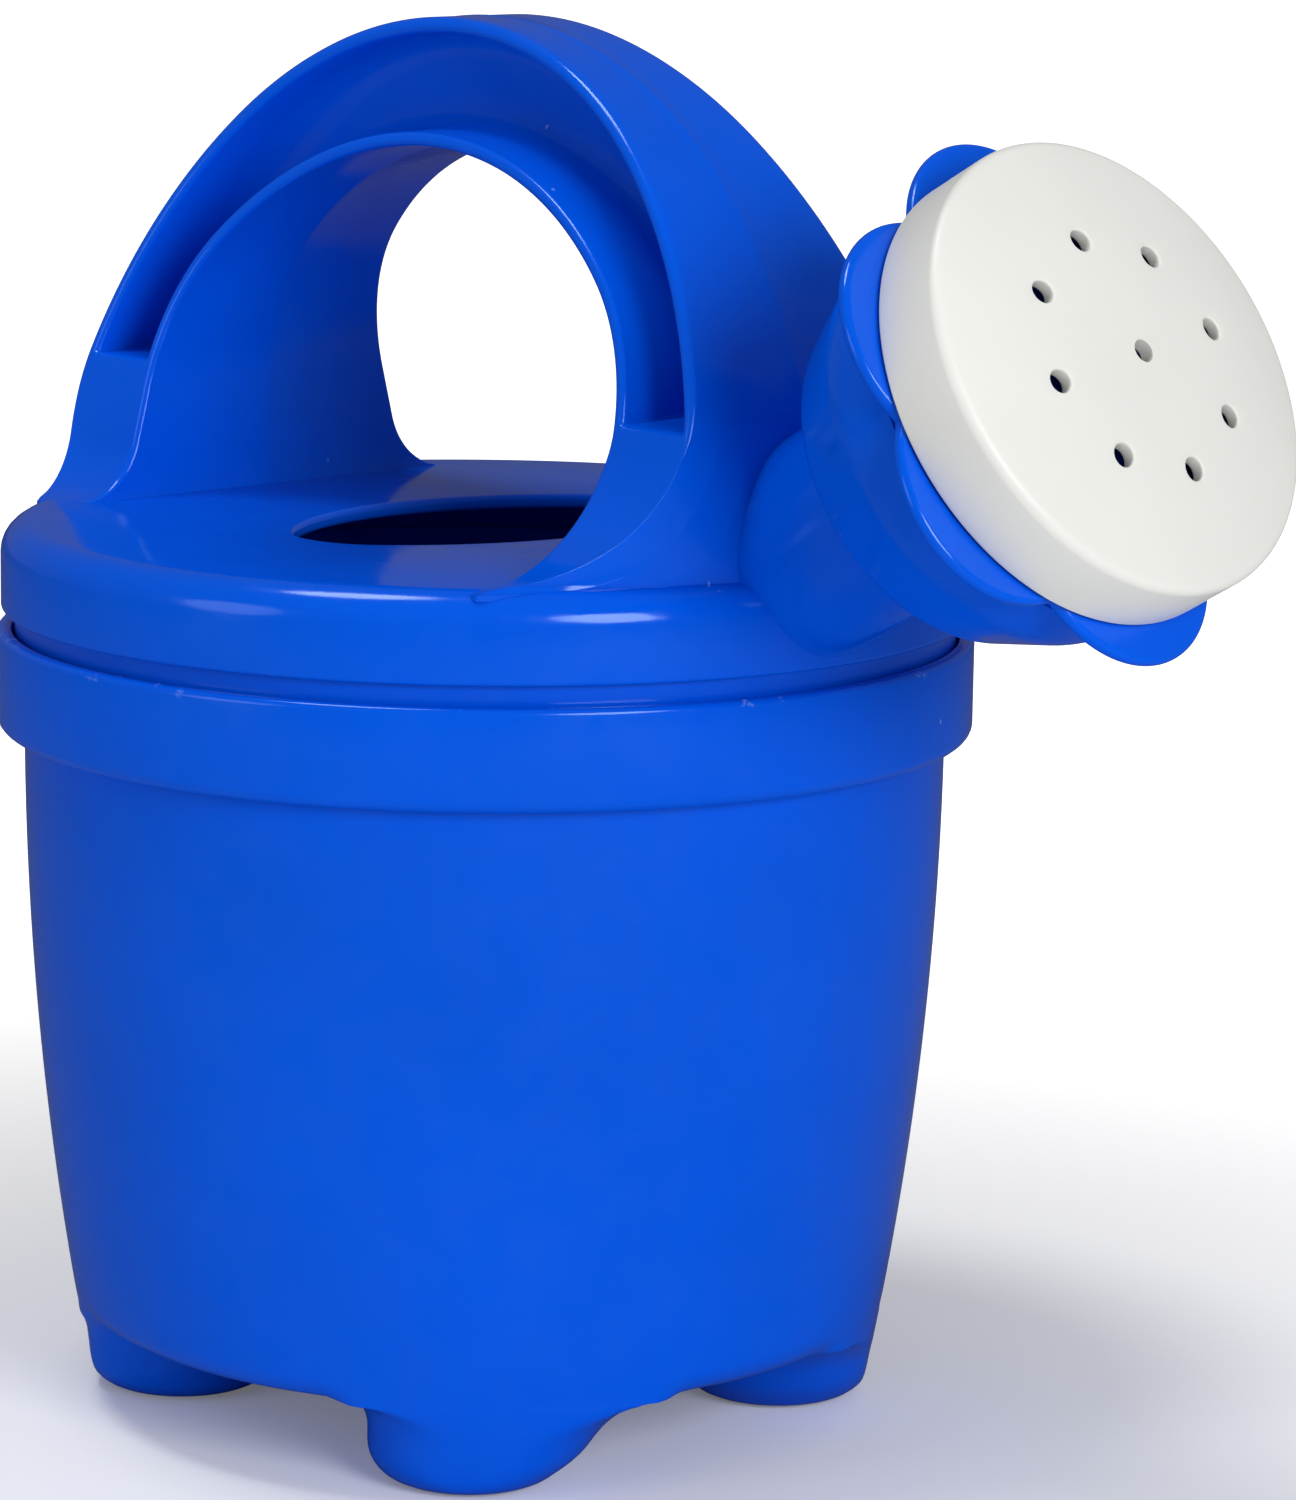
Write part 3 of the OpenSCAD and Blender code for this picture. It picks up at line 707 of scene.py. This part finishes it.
def face_patches(s):
    """Rose face of equal sectors, each built round its hole. Rows run from the sector's border over the
    domed front to the hole, down the hole and back under the plate. Where the border is the rim, rows
    go on round the edge, down the skirt and up inside. Where it is the middle hole they go down it."""
    rise = s.face_dome - math.sqrt(s.face_dome**2 - s.face_radius**2)
    wall = s.face_wall
    soft, inside = 0.0014, s.face_radius - s.face_wall

    def front(r):
        """Height of the domed front at distance r from the axis."""
        return s.face_at + rise - s.face_dome + np.sqrt(s.face_dome**2 - r**2)

    edge = s.face_radius - soft
    psi, reach, kind = sector_rays(s.holes, s.hole_ring, s.hole_radius, edge, 10)
    psi2, reach2, _ = sector_rays(s.holes, s.hole_ring, s.hole_radius, inside - 0.0006, 10)
    lip = 0.0003
    a = np.linspace(0, np.pi / 2, 5)
    out = np.linspace(1, 0, 9)[:-1, None]

    def plate(turns, far, over):
        """Rows from the border to the hole's wall on the front (over 0) or on the underside (over wall)."""
        rho = s.hole_radius + lip + (far - s.hole_radius - lip) * out
        rho = np.concatenate([rho, (s.hole_radius + lip - lip * np.sin(a))[:, None] + 0 * far])
        x, y = s.hole_ring + rho * np.cos(turns), rho * np.sin(turns)
        r = np.minimum(np.hypot(x, y), s.face_radius)
        drop = np.concatenate([np.zeros(8), lip * (1 - np.cos(a))])[:, None]
        z = front(r) - over + (drop if over else -drop)
        return np.stack([x, y, z], -1)

    above = plate(psi, reach, 0.0)
    below = plate(psi2, reach2, wall)
    hole_wall = np.stack([above[-1], below[-1]])
    rim = kind == 1
    start, stop = above[0][rim], below[0][rim]
    bottom = s.face_at - s.face_skirt
    run = 0.004
    side = rounded([(edge - run, float(front(edge - run))), (s.face_radius, s.face_at),
                    (s.face_radius, bottom), (inside, bottom), (inside, float(front(inside)) - wall),
                    (inside - run, float(front(inside - run)) - wall)],
                   [0, soft, 0.0004, 0.0003, 0.0006, 0], 7)[8:-8]
    a0, a1 = np.arctan2(start[:, 1], start[:, 0]), np.arctan2(stop[:, 1], stop[:, 0])
    turn = np.linspace(0, 1, len(side))[:, None]
    angle = a0 + (a1 - a0) * turn
    skirt = np.stack([side[:, 0][:, None] * np.cos(angle), side[:, 0][:, None] * np.sin(angle),
            side[:, 1][:, None] + 0 * angle], -1)
    skirt = np.concatenate([start[None], skirt, stop[None]])
    centre = np.nonzero(kind == 2)[0]
    mid = np.concatenate([centre[[0]] - 1, centre, centre[[-1]] + 1])
    middle = np.stack([above[0][mid], below[0][mid]])
    patches = []
    for i in range(s.holes):
        turn = math.pi + s.hole_turn + i * 2 * math.pi / s.holes
        closed_round = ((above, True), (below, True), (hole_wall, True), (skirt, False), (middle, False))
        for points, closed in closed_round:
            p, q = grid(points, round_columns=closed)
            patches.append((on_spout(spin_z(p, turn), s), q))
    return patches


# ---------------------------------------------------------------- operators


class WATERCAN_OT_tub(bpy.types.Operator):
    """Builds the tub with its band and its four hollow feet"""

    bl_idname = "watercan.tub"
    bl_label = "Tub"

    def execute(self, context):
        scene = context.scene
        remove("tub_moulding")
        look = gloss_polypropylene("Polypropylene, gloss moulded, tub", scene.can_finishes.blue,
            scene.can_finishes.blue_gloss, scene.can_tub.rim_height)
        piece("tub_moulding", tub_patches(scene.can_tub), "tub", "bucket", look)
        return {"FINISHED"}


class WATERCAN_OT_lid(bpy.types.Operator):
    """Builds the lid in one with its arch handle and its spout neck"""

    bl_idname = "watercan.lid"
    bl_label = "Lid, handle and neck"

    def execute(self, context):
        scene = context.scene
        remove("lid_moulding")
        look = gloss_polypropylene("Polypropylene, gloss moulded, lid", scene.can_finishes.blue,
            scene.can_finishes.blue_gloss)
        patches = [lid_shell_patch(scene.can_lid), *handle_patches(scene.can_handle, scene.can_lid),
            neck_patch(scene.can_spout)]
        piece("lid_moulding", patches, "lid", "lid", look)
        return {"FINISHED"}


class WATERCAN_OT_rose_cup(bpy.types.Operator):
    """Builds the rose cup with its petal flange"""

    bl_idname = "watercan.rose_cup"
    bl_label = "Rose cup"

    def execute(self, context):
        scene = context.scene
        remove("rose_cup_moulding")
        look = gloss_polypropylene("Polypropylene, gloss moulded, rose cup", scene.can_finishes.blue,
            scene.can_finishes.blue_gloss)
        piece("rose_cup_moulding", [cup_patch(scene.can_spout)], "rose_cup", "rose_cup", look)
        return {"FINISHED"}


class WATERCAN_OT_rose_face(bpy.types.Operator):
    """Builds the white rose face with its nine holes"""

    bl_idname = "watercan.rose_face"
    bl_label = "Rose face"

    def execute(self, context):
        scene = context.scene
        remove("rose_face_moulding")
        look = satin_polypropylene("Polypropylene, satin moulded, white", scene.can_finishes.white,
            scene.can_finishes.white_gloss)
        piece("rose_face_moulding", face_patches(scene.can_spout), "rose_face", "rose_face",
            look)
        return {"FINISHED"}


class WATERCAN_OT_stage(bpy.types.Operator):
    """Sets up the pale floor, the soft lights and the camera"""

    bl_idname = "watercan.stage"
    bl_label = "Stage"

    def execute(self, context):
        scene = context.scene
        s = scene.can_stage
        for name in ("studio_floor", "key_light", "top_light", "fill_light", "camera"):
            remove(name)
        # floor: a sheet of paper that runs flat under the can
        mesh = bpy.data.meshes.new("studio_floor")
        x, y = np.meshgrid(np.linspace(-40, 40, 3), np.linspace(-40, 40, 3), indexing="ij")
        p, q = grid(np.stack([x, y, 0 * x - 0.0002], -1))
        mesh.from_pydata(p, [], q[:, ::-1].tolist())
        floor = bpy.data.objects.new("studio_floor", mesh)
        scene.collection.objects.link(floor)
        made, tree = new_material("Matt paper, studio sweep")
        # the far part of the paper has a glow that only the camera sees, from 0.06 m to 0.42 m out
        place = add_node(tree, "ShaderNodeTexCoord").outputs["Object"]
        far = add_node(tree, "ShaderNodeVectorMath", {0: place}, operation="LENGTH").outputs["Value"]
        wash = add_node(tree, "ShaderNodeMapRange",
            {"Value": far, "From Min": 0.06, "From Max": 0.42, "To Min": 0.12, "To Max": s.backdrop},
            interpolation_type="SMOOTHSTEP")
        ray = add_node(tree, "ShaderNodeLightPath").outputs
        glow = add_node(tree, "ShaderNodeMath", {0: wash.outputs["Result"], 1: ray["Is Camera Ray"]},
            operation="MULTIPLY")
        # painted dark reflection: for glossy rays the paper's colour is painted dark grey, so the can's gloss
        # shows a dark floor
        paper = add_node(tree, "ShaderNodeMix",
            {0: ray["Is Glossy Ray"], 6: linear(scene.can_finishes.floor), 7: (0.12, 0.12, 0.12, 1)},
            data_type="RGBA")
        shader = add_node(tree, "ShaderNodeBsdfPrincipled",
            {"Base Color": paper.outputs[2], "Roughness": 0.9, "Emission Color": (1, 1, 1, 1),
                "Emission Strength": glow.outputs[0]})
        add_node(tree, "ShaderNodeOutputMaterial", {"Surface": shader.outputs["BSDF"]})
        mesh.materials.append(made)
        world = bpy.data.worlds.new("White surroundings")
        scene.world = world
        world.use_nodes = True
        world.node_tree.nodes.clear()
        ray = add_node(world.node_tree, "ShaderNodeLightPath").outputs
        unseen = add_node(world.node_tree, "ShaderNodeMapRange",
            {"Value": ray["Is Glossy Ray"], "To Min": s.sky, "To Max": s.shine})
        strength = add_node(world.node_tree, "ShaderNodeMapRange",
            {"Value": ray["Is Camera Ray"], "To Min": unseen.outputs["Result"], "To Max": s.backdrop})
        sky = add_node(world.node_tree, "ShaderNodeBackground",
            {"Color": (1, 1, 1, 1), "Strength": strength.outputs["Result"]})
        add_node(world.node_tree, "ShaderNodeOutputWorld", {"Surface": sky.outputs["Background"]})
        target = Vector((0.02, 0, 0.09))
        for name, place, size, power in (
            ("key_light", (1.05, -0.28, 0.45), 0.5, 1.05 * s.key),
            ("top_light", (-0.15, -0.20, 0.95), 0.30, 0.42 * s.key),
            ("fill_light", (-0.25, -1.05, 0.30), 0.5, 0.20 * s.key),
        ):
            light = bpy.data.lights.new(name, "AREA")
            light.shape, light.size, light.energy = "DISK", size, power
            lamp = bpy.data.objects.new(name, light)
            lamp.location = place
            lamp.rotation_euler = (target - Vector(place)).to_track_quat("-Z", "Y").to_euler()
            scene.collection.objects.link(lamp)
        eye = Vector(s.camera)
        heading = math.atan2(-eye.y, -eye.x) - s.turn
        look = Vector((math.cos(heading) * math.cos(s.pitch), math.sin(heading) * math.cos(s.pitch),
                -math.sin(s.pitch)))
        data = bpy.data.cameras.new("camera")
        data.lens, data.sensor_width = s.lens, 36.0
        data.clip_start, data.clip_end = 0.01, 200.0
        camera = bpy.data.objects.new("camera", data)
        camera.location = eye
        camera.rotation_mode = "QUATERNION"
        camera.rotation_quaternion = look.to_track_quat("-Z", "Y") @ Quaternion((0, 0, 1), s.roll)
        scene.collection.objects.link(camera)
        scene.camera = camera
        scene.view_settings.view_transform = "Standard"
        return {"FINISHED"}


class WATERCAN_PT_panel(bpy.types.Panel):
    """Lists the can's pieces, sizes and finishes"""

    bl_idname = "WATERCAN_PT_panel"
    bl_label = "Watering can"
    bl_space_type = "VIEW_3D"
    bl_region_type = "UI"
    bl_category = "Watering can"

    def draw(self, context):
        for title, group, actions in PANEL_ROWS:
            box = self.layout.box()
            box.label(text=title)
            settings = getattr(context.scene, group)
            for key in settings.bl_rna.properties.keys():
                if key not in {"rna_type", "name"}:
                    box.prop(settings, key)
            for action in actions:
                box.operator(action.bl_idname)


PANEL_ROWS = (
    ("Tub", "can_tub", (WATERCAN_OT_tub,)),
    ("Lid", "can_lid", (WATERCAN_OT_lid,)),
    ("Handle", "can_handle", ()),
    ("Spout and rose", "can_spout", (WATERCAN_OT_rose_cup, WATERCAN_OT_rose_face)),
    ("Finishes", "can_finishes", ()),
    ("Stage", "can_stage", (WATERCAN_OT_stage,)),
)
GROUPS = {"can_tub": TubSizes, "can_lid": LidSizes, "can_handle": HandleSizes, "can_spout": SpoutSizes,
    "can_finishes": Finishes, "can_stage": StageSettings}
CLASSES = (*GROUPS.values(), WATERCAN_OT_tub, WATERCAN_OT_lid, WATERCAN_OT_rose_cup, WATERCAN_OT_rose_face,
    WATERCAN_OT_stage, WATERCAN_PT_panel)


def register():
    """Registers the classes and hangs the settings on the scene."""
    for cls in CLASSES:
        bpy.utils.register_class(cls)
    for name, group in GROUPS.items():
        setattr(bpy.types.Scene, name, PointerProperty(type=group))


def unregister():
    """Takes the settings and the classes away again."""
    for name in GROUPS:
        delattr(bpy.types.Scene, name)
    for cls in reversed(CLASSES):
        bpy.utils.unregister_class(cls)


def main():
    """Builds every piece and the stage."""
    register()
    bpy.ops.watercan.tub()
    bpy.ops.watercan.lid()
    bpy.ops.watercan.rose_cup()
    bpy.ops.watercan.rose_face()
    bpy.ops.watercan.stage()


if __name__ == "__main__":
    main()
